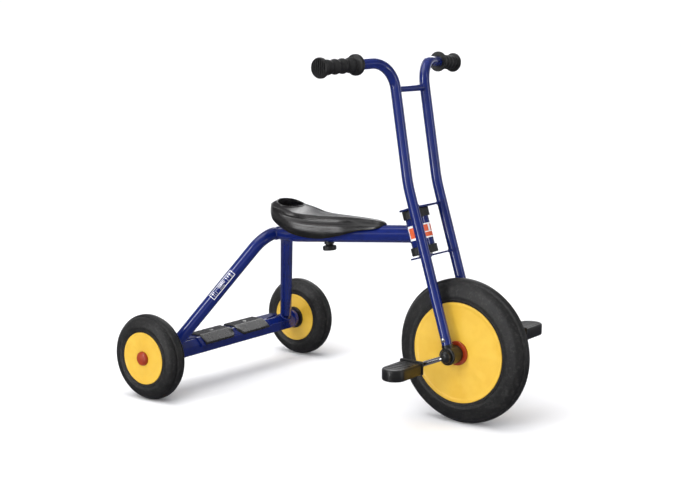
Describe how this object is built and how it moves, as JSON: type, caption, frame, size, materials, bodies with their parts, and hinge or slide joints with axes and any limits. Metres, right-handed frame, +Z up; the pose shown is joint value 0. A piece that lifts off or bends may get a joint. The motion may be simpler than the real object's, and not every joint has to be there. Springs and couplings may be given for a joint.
{
  "type": "children's tricycle",
  "caption": "Front-driven child's tricycle with a bent tube frame, saddle seat, upright twin-leg handlebar fork, rear foot step and solid tyres.",
  "frame": {"origin": "on the floor, under the middle of the tricycle's length and width", "axes": "+X forwards, +Y to the rider's left, +Z up"},
  "size_m": [0.8937, 0.591, 0.7609],
  "materials": {
    "blue_paint": "gloss",
    "yellow_plastic": "gloss",
    "red_plastic": "gloss",
    "tyre_rubber": "matte",
    "grip_rubber": "satin",
    "black_plastic": "satin",
    "nylon": "satin",
    "chrome": "polished",
    "zinc_steel": "satin"
  },
  "bodies": {
    "frame": {"main_tube": "blue_paint", "head_tube": "blue_paint", "rear_stay": "blue_paint", "rear_beam": "blue_paint", "step_plate": "blue_paint", "step_pad_right": "grip_rubber", "step_pad_left": "grip_rubber", "step_screws": "zinc_steel", "axle_collars": "blue_paint", "rear_axle": "zinc_steel", "rear_axle_nuts": "zinc_steel", "rear_axle_washers": "zinc_steel", "head_bush_upper": "black_plastic", "head_bush_lower": "black_plastic"},
    "steering": {"fork_leg_right": "blue_paint", "fork_leg_left": "blue_paint", "handlebar_brace": "blue_paint", "fork_plate_upper": "blue_paint", "fork_plate_lower": "blue_paint", "steering_pin": "zinc_steel", "steering_nut": "zinc_steel", "steering_washers": "zinc_steel", "grip_right": "grip_rubber", "grip_left": "grip_rubber", "axle_housing_right": "black_plastic", "axle_housing_left": "black_plastic", "crank_bush_right": "nylon", "crank_bush_left": "nylon", "housing_screws": "zinc_steel"},
    "front_wheel": {"front_tyre": "tyre_rubber", "front_disc_right": "yellow_plastic", "front_disc_left": "yellow_plastic", "front_hub_flange_right": "red_plastic", "front_hub_flange_left": "red_plastic", "front_hub_core": "black_plastic", "crank": "chrome", "crank_drive_pin": "zinc_steel", "pedal_washers": "zinc_steel", "pedal_push_nuts": "zinc_steel"},
    "pedal_right": {"pedal_right": "black_plastic"},
    "pedal_left": {"pedal_left": "black_plastic"},
    "rear_wheel_right": {"rear_tyre_right": "tyre_rubber", "rear_disc_outer_right": "yellow_plastic", "rear_disc_inner_right": "yellow_plastic", "rear_hub_cap_right": "red_plastic", "rear_wheel_bushes_right": "nylon", "rear_dust_ring_right": "black_plastic"},
    "rear_wheel_left": {"rear_tyre_left": "tyre_rubber", "rear_disc_outer_left": "yellow_plastic", "rear_disc_inner_left": "yellow_plastic", "rear_hub_cap_left": "red_plastic", "rear_wheel_bushes_left": "nylon", "rear_dust_ring_left": "black_plastic"},
    "seat": {"seat_shell": "black_plastic", "seat_block": "black_plastic", "seat_bolt": "zinc_steel", "seat_clamp_washer": "black_plastic"},
    "seat_knob": {"seat_knob": "black_plastic", "seat_knob_insert": "zinc_steel"}
  },
  "joints": [
    {"name": "steering_turn", "type": "hinge", "parent": "frame", "child": "steering", "pos_m": [0.18368, 0, 0.391], "axis": [-0.2924, 0, 0.9563], "range_deg": [-85, 85]},
    {"name": "front_wheel_spin", "type": "hinge", "parent": "steering", "child": "front_wheel", "pos_m": [0.29437, 0, 0.1525], "axis": [0, 1, 0], "continuous": true},
    {"name": "pedal_right_spin", "type": "hinge", "parent": "front_wheel", "child": "pedal_right", "pos_m": [0.22277, -0.13, 0.12284], "axis": [0, 1, 0], "continuous": true},
    {"name": "pedal_left_spin", "type": "hinge", "parent": "front_wheel", "child": "pedal_left", "pos_m": [0.36598, 0.13, 0.18216], "axis": [0, 1, 0], "continuous": true},
    {"name": "rear_wheel_right_spin", "type": "hinge", "parent": "frame", "child": "rear_wheel_right", "pos_m": [-0.35163, -0.2645, 0.09525], "axis": [0, 1, 0], "continuous": true},
    {"name": "rear_wheel_left_spin", "type": "hinge", "parent": "frame", "child": "rear_wheel_left", "pos_m": [-0.35163, 0.2645, 0.09525], "axis": [0, 1, 0], "continuous": true},
    {"name": "seat_slide", "type": "slide", "parent": "frame", "child": "seat", "axis": [0.9959, 0, 0.0906], "range_m": [-0.025, 0.025]},
    {"name": "seat_knob_turn", "type": "hinge", "parent": "seat", "child": "seat_knob", "pos_m": [-0.05473, 0, 0.33303], "axis": [-0.0906, 0, 0.9959], "continuous": true}
  ]
}
